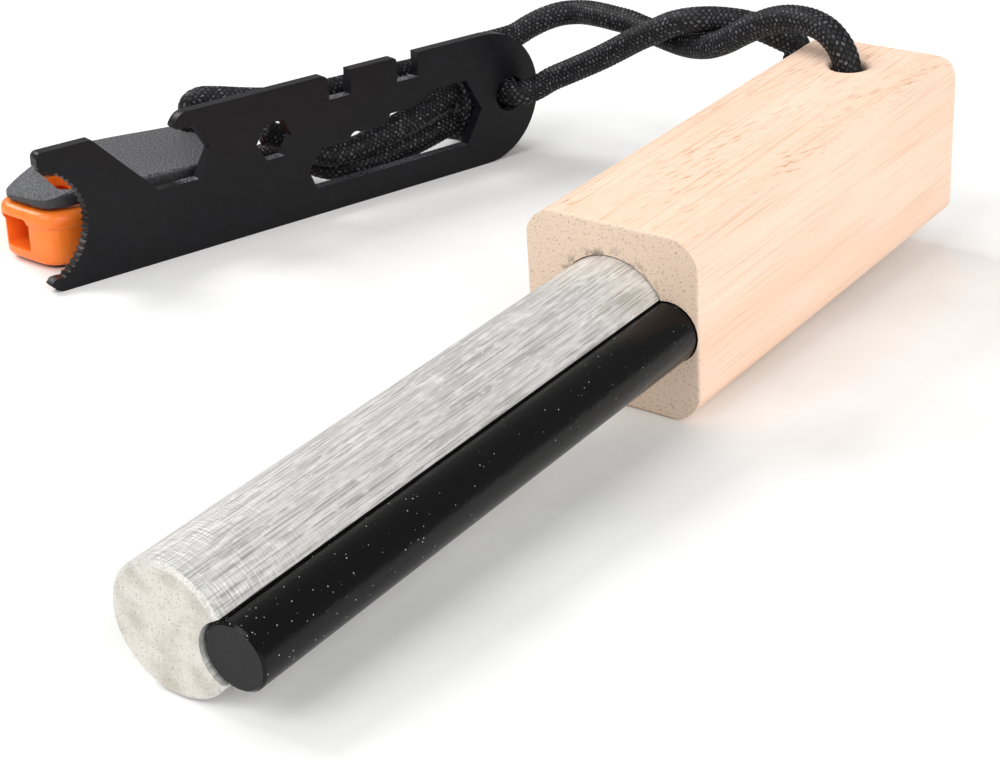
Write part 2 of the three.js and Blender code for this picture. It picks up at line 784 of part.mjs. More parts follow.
// The plate stands upright: its outline's y becomes up, and its front face looks back to -Y.
const strikerGroup = new THREE.Group();
const standing = new THREE.Group();
standing.rotation.x = QUARTER;
standing.position.y = striker.thickness;
standing.add(makeStriker(coatedSteel));
strikerGroup.add(standing);
strikerGroup.position.set(striker.foot[0], striker.foot[1], 0);
strikerGroup.rotation.z = striker.turn;

const whistleGroup = new THREE.Group();
whistleGroup.position.set(whistle.tip[0], whistle.tip[1], 0);
whistleGroup.rotation.z = whistle.turn;
whistleGroup.add(
  makeWhistleUnder(blackPlastic),
  makeWhistleBody(orangePlastic),
  makeWhistleTop(blackPlastic),
);

const cordGroup = new THREE.Group();
cordGroup.add(
  named("lanyard_front_strand", cordTube(frontStrandRoute, cord.radius), braid),
  named("lanyard_under_handle", cordTube(underRoute, cord.pressedRadius), braid),
  named("lanyard_rear_strand", cordTube(rearStrandRoute, cord.radius), braid),
  named("whistle_loop_upper", cordTube(whistleUpperRoute, cord.radius), braid),
  named("whistle_loop_lower", cordTube(whistleLowerRoute, cord.radius), braid),
  named("lanyard_tail", cordTube(tailRoute, cord.radius), braid),
  makeKnot(braid),
);

fireStarter.add(handleGroup, strikerGroup, whistleGroup, cordGroup);

export default fireStarter;
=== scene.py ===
import json

import bpy
import numpy as np
from mathutils import Matrix, Vector

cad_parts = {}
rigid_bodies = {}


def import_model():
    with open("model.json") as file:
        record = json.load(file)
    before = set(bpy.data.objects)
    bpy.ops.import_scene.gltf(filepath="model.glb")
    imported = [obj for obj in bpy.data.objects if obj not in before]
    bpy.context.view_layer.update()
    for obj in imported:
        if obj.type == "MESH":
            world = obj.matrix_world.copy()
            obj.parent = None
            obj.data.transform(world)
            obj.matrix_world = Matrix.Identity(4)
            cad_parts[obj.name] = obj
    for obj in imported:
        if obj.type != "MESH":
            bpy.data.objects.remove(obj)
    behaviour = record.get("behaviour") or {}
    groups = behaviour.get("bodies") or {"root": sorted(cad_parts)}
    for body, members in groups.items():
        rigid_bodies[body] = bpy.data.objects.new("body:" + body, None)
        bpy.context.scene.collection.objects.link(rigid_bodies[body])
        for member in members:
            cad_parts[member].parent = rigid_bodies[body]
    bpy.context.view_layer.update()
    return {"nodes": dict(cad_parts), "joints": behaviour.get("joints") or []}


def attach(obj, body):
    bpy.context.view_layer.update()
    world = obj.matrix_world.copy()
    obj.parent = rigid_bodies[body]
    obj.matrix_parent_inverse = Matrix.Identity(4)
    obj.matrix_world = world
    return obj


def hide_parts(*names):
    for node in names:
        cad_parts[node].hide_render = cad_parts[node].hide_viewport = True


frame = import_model()
MM = 0.001

# The view: a long lens in front of the rods' tips, a little above them, as for a product picture.
# Large soft lamps stand behind on the left, in front on the right and high over the rods' tips, and
# the floor is a wide sheet of white paper. The paper and the lamps are in metres.
CAMERA_PLACE = Vector((-201.67, -181.79, 119.35)) * MM
CAMERA_AHEAD = Vector((0.72457, 0.53642, -0.43272))
CAMERA_RIGHT = Vector((0.58589, -0.81006, -0.02316))
CAMERA_LENS = 75.95
CAMERA_SENSOR = 36
PAPER_REACH = 3
PAPER_COLOUR = "#F9F9F8"
PAPER_PAINTED_SHADE = "#F1F1EF"
PAPER_PATCH = 30 * MM
PATCH_TONES = {"From Min": 0.35, "From Max": 0.65}
PAPER_SHEEN = {"Roughness": 0.9, "Specular IOR Level": 0.1}
ROOM_LEVEL = 0.54
AIM = Vector((0, 0, 10)) * MM
LAMPS = {
    "key_behind_left": ((0.02, 0.75, 0.72), 0.5, 6.0),
    "fill_front_right": ((-0.25, -0.85, 0.5), 0.8, 6.0),
    "top_front": ((-0.7, 0.1, 0.75), 0.6, 4.2),
}
OF_COLOURS = {"data_type": "RGBA"}


def linear(colour):
    """A hex colour as linear red, green and blue: each channel has the display curve undone."""
    channels = np.array([int(colour[i : i + 2], 16) for i in (1, 3, 5)]) / 255
    low, high = channels / 12.92, ((channels + 0.055) / 1.055) ** 2.4
    return (*np.where(channels <= 0.04045, low, high), 1.0)


def add(tree, kind, settings, inputs):
    """Adds a node, sets it, fills its inputs by name, and gives back its first output in use.

    A socket is linked, a hex colour is set as linear light, and any other value as it is. A list
    fills the inputs that share a name, in their order.
    """
    made = tree.nodes.new(kind)
    for key, value in settings.items():
        setattr(made, key, value)
    for key, values in inputs.items():
        sockets = [s for s in made.inputs if s.name == key and s.enabled]
        for socket, value in zip(sockets, values if isinstance(values, list) else [values], strict=True):
            if isinstance(value, bpy.types.NodeSocket):
                tree.links.new(value, socket)
            else:
                socket.default_value = linear(value) if isinstance(value, str) else value
    return next((s for s in made.outputs if s.enabled), None)


def new_material(name):
    """A material with an empty tree."""
    material = bpy.data.materials.new(name)
    material.use_nodes = True
    material.node_tree.nodes.clear()
    return material, material.node_tree


def surface(tree, settings):
    """Ends a material's tree in one surface shader with these inputs."""
    shader = add(tree, "ShaderNodeBsdfPrincipled", {}, settings)
    add(tree, "ShaderNodeOutputMaterial", {}, {"Surface": shader})


def white_paper():
    """White paper: matt, with slow soft patches of painted shade where it waves."""
    material, tree = new_material("white_paper")
    place = add(tree, "ShaderNodeTexCoord", {}, {}).node.outputs["Object"]
    patch = add(tree, "ShaderNodeTexNoise", {}, {"Vector": place, "Scale": 1 / PAPER_PATCH, "Detail": 3})
    tone = add(tree, "ShaderNodeMapRange", {}, {"Value": patch, **PATCH_TONES})
    # Patches of painted shade, standing for the paper's waves.
    colour = add(tree, "ShaderNodeMix", OF_COLOURS, {"Factor": tone, "A": PAPER_PAINTED_SHADE, "B": PAPER_COLOUR})
    surface(tree, {"Base Color": colour, **PAPER_SHEEN})
    return material


def lamp(name, place, size, watts):
    """A square area lamp that faces the object."""
    data = bpy.data.lights.new(name, "AREA")
    data.size = size
    data.energy = watts
    made = bpy.data.objects.new(name, data)
    turn = (AIM - Vector(place)).to_track_quat("-Z", "Y")
    made.matrix_world = Matrix.LocRotScale(Vector(place), turn, None)
    bpy.context.scene.collection.objects.link(made)


def room():
    """An even room, full white where it is looked at and dimmer where it lights the object."""
    world = bpy.data.worlds.new("room")
    bpy.context.scene.world = world
    world.use_nodes = True
    tree = world.node_tree
    tree.nodes.clear()
    rays = add(tree, "ShaderNodeLightPath", {}, {}).node.outputs
    looking = [rays["Is Camera Ray"], rays["Is Transmission Ray"]]
    seen = add(tree, "ShaderNodeMath", {"operation": "MAXIMUM"}, {"Value": looking})
    level = add(tree, "ShaderNodeMapRange", {}, {"Value": seen, "To Min": ROOM_LEVEL, "To Max": 1.0})
    light = add(tree, "ShaderNodeBackground", {}, {"Strength": level})
    add(tree, "ShaderNodeOutputWorld", {}, {"Surface": light})


camera = bpy.data.objects.new("camera", bpy.data.cameras.new("camera"))
camera.data.lens = CAMERA_LENS
camera.data.sensor_width = CAMERA_SENSOR
camera.data.clip_start = MM
camera_up = CAMERA_RIGHT.cross(CAMERA_AHEAD)
turned = Matrix((CAMERA_RIGHT, camera_up, -CAMERA_AHEAD)).transposed()
camera.matrix_world = Matrix.Translation(CAMERA_PLACE) @ turned.to_4x4()
bpy.context.scene.collection.objects.link(camera)
bpy.context.scene.camera = camera
bpy.context.scene.view_settings.view_transform = "Standard"
room()
for lamp_name, (lamp_place, lamp_size, lamp_watts) in LAMPS.items():
    lamp(lamp_name, lamp_place, lamp_size, lamp_watts)
sheet = bpy.data.meshes.new("paper")
corners = [(x * PAPER_REACH, y * PAPER_REACH, 0) for x, y in ((-1, -1), (1, -1), (1, 1), (-1, 1))]
sheet.from_pydata(corners, [], [(0, 1, 2, 3)])
sheet.materials.append(white_paper())
floor = bpy.data.objects.new("paper", sheet)
bpy.context.scene.collection.objects.link(floor)

# Lanyard: one length of 4 mm nylon cord, a core in a sleeve braided from flat yarns.
# It runs from the knot through the striker to the handle, under the handle and back, and from the
# knot round the whistle's lug and back again, and its free end lies behind the striker.
CORD_RADIUS = 2
PRESSED_RADIUS = 1.6
PRESSED_BELOW = 5.5
# The centre line: from the handle's hole over to the knot, under the handle, from behind it over to
# the knot, from the knot round the whistle's lug and back, and the free end.
FRONT_STRAND = [
    (65.3, -48.85, 8.6), (64.9, -48.85, 13), (64.6, -48.85, 18), (64.3, -48.85, 23),
    (64.2, -48.75, 26.6), (64.2, -48.45, 28.8), (64.3, -47.65, 30.6), (64.6, -46.35, 32),
    (65.2, -44.35, 33.1), (65.9, -41.85, 33.6), (66.5, -39.45, 33.6), (67.1, -36.75, 33.2),
    (67.8, -33.75, 32.2), (68.5, -30.95, 30.8), (69.3, -28.15, 29.2), (70.6, -24.65, 27.1),
    (72.2, -20.95, 25.4), (74.4, -16.85, 24.2), (76.2, -13.15, 23.7), (77.7, -9.85, 23.6),
    (78.7, -7.05, 23.7), (79.5, -4.15, 23.9), (80.6, -0.75, 24.1), (81.6, 2.75, 24),
    (83, 6.45, 23.7), (85.3, 11.95, 22.8), (84.5, 15.05, 22.3), (83.1, 17.55, 21.4),
    (81.4, 19.75, 20.1), (79.4, 21.25, 18.9), (76.5, 22.65, 18.5), (73.6, 23.85, 18.3),
    (71.2, 24.95, 17.7), (69, 25.95, 16.6), (68.9, 26.5, 14.9), (69.5, 26.9, 13.1),
    (70.8, 26.9, 11.2),
]
UNDER_HANDLE = [
    (65.35, -48.85, 6.2), (65.5, -48.65, 4.3), (65.6, -47.75, 2.6), (65.6, -46.05, 1.85),
    (65.6, -42.95, 1.8), (65.5, -39.45, 1.8), (65.4, -36.45, 2), (65.3, -34.45, 3.2),
    (65.2, -33.65, 5.2), (65.1, -33.55, 7.4),
]
REAR_STRAND = [
    (65.2, -33.55, 10), (65.9, -33.55, 12.4), (67.8, -33.55, 14.9), (70.2, -33.55, 17.4),
    (72.6, -33.55, 19.6), (74.8, -33.65, 21.6), (76.2, -33.75, 23.6), (76.7, -33.65, 26.3),
    (76.3, -32.15, 27), (75.8, -30.45, 27.7), (75.3, -28.45, 28.4), (75.1, -25.45, 28.9),
    (74.7, -22.75, 29), (74.1, -20.55, 29), (73.2, -18.55, 28.9), (72.9, -16.15, 28.4),
    (72.9, -13.55, 27.5), (73.1, -10.85, 26.1), (73.6, -6.75, 23.9), (74.5, -2.75, 21.5),
    (75, 1.15, 19.2), (75.4, 7.15, 16), (75.3, 10.95, 14), (74.4, 13.45, 12.3),
    (73.1, 15.35, 11.4), (72.7, 17.05, 11.2), (72.9, 18.65, 11.1), (73.3, 20.35, 11.3),
    (73.8, 22.35, 11.6), (74.2, 24.6, 11.4),
]
WHISTLE_LOOP = [
    (68.7, 29.05, 14.2), (66.3, 29.35, 15.1), (63.5, 29.45, 15.8), (60.5, 29.35, 16.2),
    (53.4, 31.45, 16.3), (47.2, 33.65, 16.1), (43.1, 35.45, 16), (39.7, 37.55, 16),
    (36.8, 40.05, 16), (34.4, 43.05, 16.2), (32.4, 46.05, 16.4), (30.8, 48.45, 16.3),
    (30, 49.65, 15.3), (29.9, 49.65, 13.7), (30, 49.35, 12), (30.1, 49.25, 9.8),
    (30.1, 49.25, 7.6), (30.1, 49.25, 5.4), (30.5, 49.15, 3.7), (31.8, 48.85, 2.6),
    (33.5, 48.45, 2.3), (36, 47.75, 2.3), (38.6, 46.65, 3.2), (41, 44.75, 4.6),
    (42.7, 41.95, 5.1), (43.6, 38.25, 4.2), (45.1, 34.65, 3.2), (47.7, 31.75, 3.1),
    (51.9, 29.75, 3.4), (56.2, 28.55, 4), (60.6, 27.45, 4.8), (64.4, 26.5, 5.6),
    (68, 26.2, 6.1), (71, 27, 6.6),
]
TAIL = [
    (67.7, 25.35, 12), (64.3, 25.95, 11), (61.2, 26.45, 10.1), (56.3, 27.15, 9.2),
    (51.2, 28.35, 8.1), (46.4, 29.75, 7), (42.4, 31.75, 6.8), (39.1, 34.25, 8.4),
    (36.3, 36.85, 10.6), (33.8, 38.65, 11.8),
]
# The knot lies along the striker, close behind it.
KNOT_CENTRE = (73.56, 27.64, 8.2)
KNOT_AXIS = (0.96903, -0.24692, 0)
KNOT_REACH = 4.8
KNOT_CORE_TURNS = 1.4
KNOT_CORE_RADIUS = 1.35
KNOT_EASE_TURNS = 0.5
KNOT_WRAPS = 2.35
KNOT_WRAP_RADIUS = 5.38
KNOT_TUCK = 2.6
KNOT_TUCK_RATE = 9
KNOT_TURN_POINTS = 16
RING_STEP = 0.19
ROUTE_SAMPLES = 48
BRAID_COLUMNS = 20
BRAID_SIDES = 80
BRAID_PITCH = 0.86
BRAID_SLANT = 0.5
BRAID_WAVE = 0.22
BRAID_DEPTH = 0.2
BRAID_LEVEL_SHARE = 0.75
END_ROUNDING = 0.9
END_LEAST_SHARE = 0.05
STITCH_TONES = (12.99, 78.23, 4375.85)
# The yarns' tops carry a painted glint, and the gaps between them a painted shade.
YARN_COLOUR = "#121214"
YARN_GLINT_PAINTED = "#77777D"
YARN_GAP_SHADE_PAINTED = "#030304"
YARN_SHEEN = {"Roughness": 0.5, "Specular IOR Level": 0.2}
YARN_RELIEF = {"Strength": 0.5, "Distance": 0.05 * MM}
YARN_TOPS = {"From Min": 0.3, "From Max": 0.9}
YARN_CROWNS = {"From Min": 0.62, "From Max": 0.95}
YARNS_LIT = {"From Min": 0.2, "To Min": 0.12}
FILAMENTS_LIT = {"From Min": 0.42, "From Max": 0.62}
# A real filament is about 0.03 mm thick. It is drawn coarser, so that it shows.
FILAMENT = 0.13
SMOOTH = {"interpolation_type": "SMOOTHSTEP"}
MULTIPLIED = {"operation": "MULTIPLY"}


def smooth_route(points):
    """A smooth curve through the points, at even steps of its length.

    A chord's slope is its vector over the root of its length. On each span the curve is the cubic
    whose end slopes are means of the slopes of the chords on both sides, weighted to the shorter.
    """
    p = np.array(points, float)
    p = np.vstack([2 * p[0] - p[1], p, 2 * p[-1] - p[-2]])
    gap = np.sqrt(np.linalg.norm(np.diff(p, axis=0), axis=1))[:, None]
    before, here, after = gap[:-2], gap[1:-1], gap[2:]
    p0, p1, p2, p3 = p[:-3], p[1:-2], p[2:-1], p[3:]
    start = here * ((p1 - p0) / before - (p2 - p0) / (before + here)) + p2 - p1
    end = here * ((p3 - p2) / after - (p3 - p1) / (here + after)) + p2 - p1
    t = np.linspace(0, 1, ROUTE_SAMPLES, endpoint=False)[None, :, None]
    curve = (
        (2 * t**3 - 3 * t**2 + 1) * p1[:, None]
        + (t**3 - 2 * t**2 + t) * start[:, None]
        + (3 * t**2 - 2 * t**3) * p2[:, None]
        + (t**3 - t**2) * end[:, None]
    ).reshape(-1, 3)
    curve = np.vstack([curve, p[-2]])
    length = np.concatenate([[0], np.cumsum(np.linalg.norm(np.diff(curve, axis=0), axis=1))])
    even = np.linspace(0, length[-1], int(length[-1] / RING_STEP) + 1)
    return np.column_stack([np.interp(even, length, curve[:, i]) for i in range(3)]), even


def carried_sides(path):
    """Side and up vectors that follow a path without twisting.

    Each side is the one before it, less its share along the path's new direction.
    """
    ahead = np.gradient(path, axis=0)
    ahead /= np.linalg.norm(ahead, axis=1)[:, None]
    side = np.empty_like(path)
    last = np.cross(ahead[0], np.eye(3)[np.argmin(np.abs(ahead[0]))])
    for i, direction in enumerate(ahead):
        last = last - direction * (last @ direction)
        last = last / np.linalg.norm(last)
        side[i] = last
    return side, np.cross(ahead, side)


def braid_relief(angle, along):
    """How high the sleeve's yarns stand at an angle round the cord and a length along it.

    Twenty columns of slanting stitches go round, leaning to the left and right by turns and half
    a stitch apart, and a wave in the columns' borders widens each stitch at its middle. A stitch's
    height is the root of the product of two parabolas, one across its column and one along it. Its
    tone is a share from the sine of its numbers, which differs from each stitch to the next.
    """
    column = angle / (2 * np.pi) * BRAID_COLUMNS
    column = column - BRAID_WAVE * np.cos(2 * np.pi * along / BRAID_PITCH) * np.cos(np.pi * column)
    number = np.floor(column)
    across = column - number
    lean = 1 - 2 * (number % 2)
    stitch = along / BRAID_PITCH + lean * BRAID_SLANT * (across - 0.5) + 0.5 * (number % 2)
    run = stitch - np.floor(stitch)
    height = np.sqrt((1 - (2 * across - 1) ** 2) * (1 - (2 * run - 1) ** 2))
    by_column, by_stitch, spread = STITCH_TONES
    tone = (np.sin(number % BRAID_COLUMNS * by_column + np.floor(stitch) * by_stitch) * spread) % 1
    return height, lean, tone


def braided_cord(name, points, radii):
    """A tube round the route, its wall moved out by the braid's relief and closed by a round end.

    A wall point is the route's point plus the side and up vectors turned by its angle, times the
    radius there. Near both ends the radius falls as a quarter circle does. The wall is also
    unrolled, in millimetres round the cord and along it, and its seam lies at the angle zero.
    """
    path, along = smooth_route(points)
    side, up = carried_sides(path)
    angle = np.linspace(0, 2 * np.pi, BRAID_SIDES, endpoint=False)
    height, lean, tone = braid_relief(angle[None, :], along[:, None])
    from_end = np.minimum(np.minimum(along, along[-1] - along) / END_ROUNDING, 1)
    rounding = np.sqrt(np.maximum(from_end * (2 - from_end), END_LEAST_SHARE**2))
    radius = (radii(path)[:, None] + BRAID_DEPTH * (height - BRAID_LEVEL_SHARE)) * rounding[:, None]
    wall = (
        path[:, None]
        + (radius * np.cos(angle))[..., None] * side[:, None]
        + (radius * np.sin(angle))[..., None] * up[:, None]
    )
    rings, sides = height.shape
    ring, corner = np.meshgrid(np.arange(rings - 1), np.arange(sides), indexing="ij")
    beside = (corner + 1) % sides
    quads = np.stack([ring * sides + corner, ring * sides + beside], -1)
    quads = np.concatenate([quads, quads[..., ::-1] + sides], -1).reshape(-1, 4)
    caps = [list(range(sides))[::-1], list(range((rings - 1) * sides, rings * sides))]
    mesh = bpy.data.meshes.new(name)
    mesh.from_pydata((wall.reshape(-1, 3) * MM).tolist(), [], quads.tolist() + caps)
    for label, values in (("yarn_height", height), ("yarn_lean", lean), ("yarn_tone", tone)):
        field = mesh.attributes.new(label, "FLOAT", "POINT")
        field.data.foreach_set("value", values.astype(np.float32).ravel())
    width = 2 * np.pi * CORD_RADIUS
    flat = np.stack(np.broadcast_arrays(angle / (2 * np.pi) * width, along[:, None]), -1).reshape(-1, 2)
    vertices = np.empty(len(mesh.loops), np.int32)
    mesh.loops.foreach_get("vertex_index", vertices)
    unrolled = flat[vertices]
    over_seam = (quads % sides == 0).any(1) & (quads % sides == sides - 1).any(1)
    wraps = np.zeros(len(vertices), bool)
    wraps[: quads.size] = np.repeat(over_seam, 4)
    unrolled[wraps & (unrolled[:, 0] < width / 2), 0] += width
    uv = mesh.uv_layers.new(name="unrolled")
    uv.data.foreach_set("uv", unrolled.astype(np.float32).ravel())
    mesh.shade_smooth()
    cord = bpy.data.objects.new(name, mesh)
    bpy.context.scene.collection.objects.link(cord)
    return cord, path * MM, along[-1] * MM


def braided_nylon():
    """Braided nylon: black flat yarns of fine filaments, with painted glints on their tops and painted
    shade in their gaps.

    The filaments are noise drawn out along the unrolled sleeve, slanting as each yarn leans.
    """
    material, tree = new_material("braided_nylon")
    height, lean, tone = (
        add(tree, "ShaderNodeAttribute", {"attribute_name": label}, {}).node.outputs["Fac"]
        for label in ("yarn_height", "yarn_lean", "yarn_tone")
    )
    unrolled = add(tree, "ShaderNodeUVMap", {"uv_map": "unrolled"}, {})
    flat = add(tree, "ShaderNodeSeparateXYZ", {}, {"Vector": unrolled}).node.outputs
    drift = add(tree, "ShaderNodeMath", MULTIPLIED, {"Value": [flat["Y"], lean]})
    slanted = {"Value": [drift, BRAID_SLANT, flat["X"]]}
    across = add(tree, "ShaderNodeMath", {"operation": "MULTIPLY_ADD"}, slanted)
    along = add(tree, "ShaderNodeMath", MULTIPLIED, {"Value": [flat["Y"], FILAMENT]})
    threads = add(tree, "ShaderNodeCombineXYZ", {}, {"X": across, "Y": along, "Z": lean})
    filament = add(tree, "ShaderNodeTexNoise", {}, {"Vector": threads, "Scale": 1 / FILAMENT, "Detail": 2})
    bright = add(tree, "ShaderNodeMapRange", SMOOTH, {"Value": filament, **FILAMENTS_LIT})
    lit = add(tree, "ShaderNodeMapRange", {}, {"Value": tone, **YARNS_LIT})
    crown = add(tree, "ShaderNodeMapRange", SMOOTH, {"Value": height, **YARN_CROWNS})
    threads_lit = add(tree, "ShaderNodeMath", MULTIPLIED, {"Value": [bright, lit]})
    # Painted glints on the yarns' crowns, and further on painted shade in the gaps between them.
    glint = add(tree, "ShaderNodeMath", MULTIPLIED, {"Value": [threads_lit, crown]})
    top = add(tree, "ShaderNodeMapRange", SMOOTH, {"Value": height, **YARN_TOPS})
    yarn = add(tree, "ShaderNodeMix", OF_COLOURS, {"Factor": glint, "A": YARN_COLOUR, "B": YARN_GLINT_PAINTED})
    colour = add(tree, "ShaderNodeMix", OF_COLOURS, {"Factor": top, "A": YARN_GAP_SHADE_PAINTED, "B": yarn})
    relief = add(tree, "ShaderNodeBump", {}, {"Height": filament, **YARN_RELIEF})
    surface(tree, {"Base Color": colour, "Normal": relief, **YARN_SHEEN})
    return material


def even_radius(path):
    """The cord's own radius all along."""
    return np.full(len(path), float(CORD_RADIUS))


def pressed_radius(path):
    """The full radius, less where the handle stands on the cord, eased over a few millimetres."""
    share = np.clip((path[:, 2] - CORD_RADIUS) / (PRESSED_BELOW - CORD_RADIUS), 0, 1)
    return PRESSED_RADIUS + (CORD_RADIUS - PRESSED_RADIUS) * share * share * (3 - 2 * share)


def knot_route():
    """A slow core along the knot's axis, then wraps back over it a cord's width apart.

    The radius eases from the core's to the wraps' in half a turn at the far end, and the last
    stretch of the wraps is tucked inwards.
    """
    turns = KNOT_CORE_TURNS + KNOT_WRAPS
    turn = np.linspace(0, turns, int(KNOT_TURN_POINTS * turns))
    along = np.interp(turn, [0, KNOT_CORE_TURNS, turns], [-KNOT_REACH, KNOT_REACH, -KNOT_REACH])
    ease = np.clip((turn - KNOT_CORE_TURNS + KNOT_EASE_TURNS) / KNOT_EASE_TURNS, 0, 1)
    ease = ease * ease * (3 - 2 * ease)
    radius = KNOT_CORE_RADIUS + (KNOT_WRAP_RADIUS - KNOT_CORE_RADIUS) * ease
    radius = radius - KNOT_TUCK * np.exp((turn - turns) * KNOT_TUCK_RATE)
    axis = np.array(KNOT_AXIS)
    level = np.array((-axis[1], axis[0], 0))
    spokes = np.cos(2 * np.pi * turn)[:, None] * level + np.sin(2 * np.pi * turn)[:, None] * np.eye(3)[2]
    return np.array(KNOT_CENTRE) + along[:, None] * axis + radius[:, None] * spokes


nylon = braided_nylon()
handle_body = next(j["parent"] for j in frame["joints"] if j["name"] == "striker_swing")
lanyard, lanyard_path, lanyard_length = braided_cord(
    "lanyard_loop", FRONT_STRAND[::-1] + UNDER_HANDLE + REAR_STRAND, pressed_radius
)
loop, loop_path, loop_length = braided_cord("whistle_loop", WHISTLE_LOOP, even_radius)
tail, tail_path, tail_length = braided_cord("tail", TAIL, even_radius)
knot = braided_cord("knot", knot_route(), even_radius)[0]
# Each piece stands for the solids of its stretch, and all of them ride with the handle.
for cord, nodes in (
    (lanyard, ("lanyard_front_strand", "lanyard_under_handle", "lanyard_rear_strand")),
    (loop, ("whistle_loop_upper", "whistle_loop_lower")),
    (tail, ("lanyard_tail",)),
    (knot, ("lanyard_knot",)),
):
    cord.data.materials.append(nylon)
    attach(cord, handle_body)
    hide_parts(*nodes)

# Handle: a block of pale beech, sawn, its long edges rounded on a router and sanded, left bare.
# Its top shows short rays in patches, its sides fine long lines, and its sawn ends the pores.
HANDLE_FRONT = (2.65, -48.85, 0)
ROD_HEIGHT = 12.65
ROD_RADIUS = 8
TIP_REACH = 79.95
# The handle leans until its front edge and the magnesium rod's tip both stand on the paper.
HANDLE_LEAN = np.arctan2(ROD_HEIGHT - ROD_RADIUS, TIP_REACH)
BEECH_LIGHT = "#F6D9C4"
BEECH_WARM = "#F3CFB5"
BEECH_RAY = "#C48955"
BEECH_LINE = "#D4A078"
END_GRAIN = "#E5CDB8"
END_PORE = "#63493A"
ROD_RIM_DARK = "#6E6862"
BAND_SIZE = (60, 7, 7)
BAND_TONES = {"From Min": 0.36, "From Max": 0.64}
LINE_SIZE = (24, 0.4, 0.2)
LINES_SHOWN = {"From Min": 0.5, "From Max": 0.74, "To Max": 0.5}
RAY_SIZE = (3.6, 0.25, 0.6)
RAY_TURN = (0, 0, np.radians(-10))
RAYS_SHOWN = {"From Min": 0.57, "From Max": 0.7, "To Max": 0.85}
RAY_PATCH = (26, 5, 9)
RAYS_CROWDED = {"From Min": 0.36, "From Max": 0.6, "To Min": 0.2}
TOP_FACE = {"From Min": 0.6, "From Max": 0.97}
# Beech's pores are under 0.1 mm wide. They are drawn coarser, so that they show.
PORE_SIZE = (3, 0.5, 0.2)
PORE_TURN = (np.radians(-42), 0, 0)
PORES_SHOWN = {"From Min": 0.58, "From Max": 0.74, "To Max": 0.55}
DARK_RIM_REACH = {"From Min": ROD_RADIUS + 1.6, "From Max": ROD_RADIUS + 0.1, "To Max": 1.0}
DARK_PATCHES_PER_MM = 0.55
DARK_PATCHES_SHOWN = {"From Min": 0.48, "From Max": 0.66}
FRONT_FACE = {"From Min": -0.5, "From Max": -0.9}
SAWN_FACES = {"From Min": 0.55, "From Max": 0.9}
BEECH_RELIEF = {"Strength": 0.5, "Distance": 0.06 * MM}
BEECH_SHEEN = {"Roughness": 0.62, "Specular IOR Level": 0.3}
OF_NUMBERS = {"data_type": "FLOAT"}
ADDED = {"operation": "ADD"}
WELD_REACH = 0.002 * MM
WALL_ANGLE = np.radians(30)


def dressed(name, material):
    """A solid of the frame in this material, its loose triangles joined and shaded smooth."""
    node = frame["nodes"][name]
    node.data.materials.clear()
    node.data.materials.append(material)
    node.data.shade_smooth()
    joined = node.modifiers.new("joined", "WELD")
    joined.merge_threshold = WELD_REACH
    return node


def edged(node, edge_angle):
    """Sharp shading where a solid's walls meet at more than this angle."""
    split = node.modifiers.new("split", "EDGE_SPLIT")
    split.split_angle = edge_angle
    flat = node.modifiers.new("flat", "WEIGHTED_NORMAL")
    flat.keep_sharp = True


def in_the_handle(tree):
    """Coordinates of the leaning handle in millimetres: along its grain, across it and up.

    A place, less the handle's front, is turned by the handle's lean round the axis across it.
    """
    place = add(tree, "ShaderNodeTexCoord", {}, {}).node.outputs["Object"]
    from_front = {"Vector": [place, Vector(HANDLE_FRONT) * MM]}
    moved = add(tree, "ShaderNodeVectorMath", {"operation": "SUBTRACT"}, from_front)
    leaning = {"Vector": moved, "Angle": HANDLE_LEAN}
    level = add(tree, "ShaderNodeVectorRotate", {"rotation_type": "Y_AXIS"}, leaning)
    return add(tree, "ShaderNodeVectorMath", {"operation": "SCALE"}, {"Vector": level, "Scale": 1 / MM})


def facing(tree):
    """The direction that the surface faces, as its shares along x, y and z."""
    outward = add(tree, "ShaderNodeTexCoord", {}, {}).node.outputs["Normal"]
    return add(tree, "ShaderNodeSeparateXYZ", {}, {"Vector": outward}).node.outputs


def long_grain(tree, place, size, detail, turn=(0, 0, 0)):
    """Noise with grains of these sizes along three axes, which are turned by these angles.

    Each step of detail adds grains half as large.
    """
    sized = {"Vector": place, "Scale": size, "Rotation": turn}
    squeezed = add(tree, "ShaderNodeMapping", {"vector_type": "TEXTURE"}, sized)
    return add(tree, "ShaderNodeTexNoise", {}, {"Vector": squeezed, "Scale": 1, "Detail": detail})


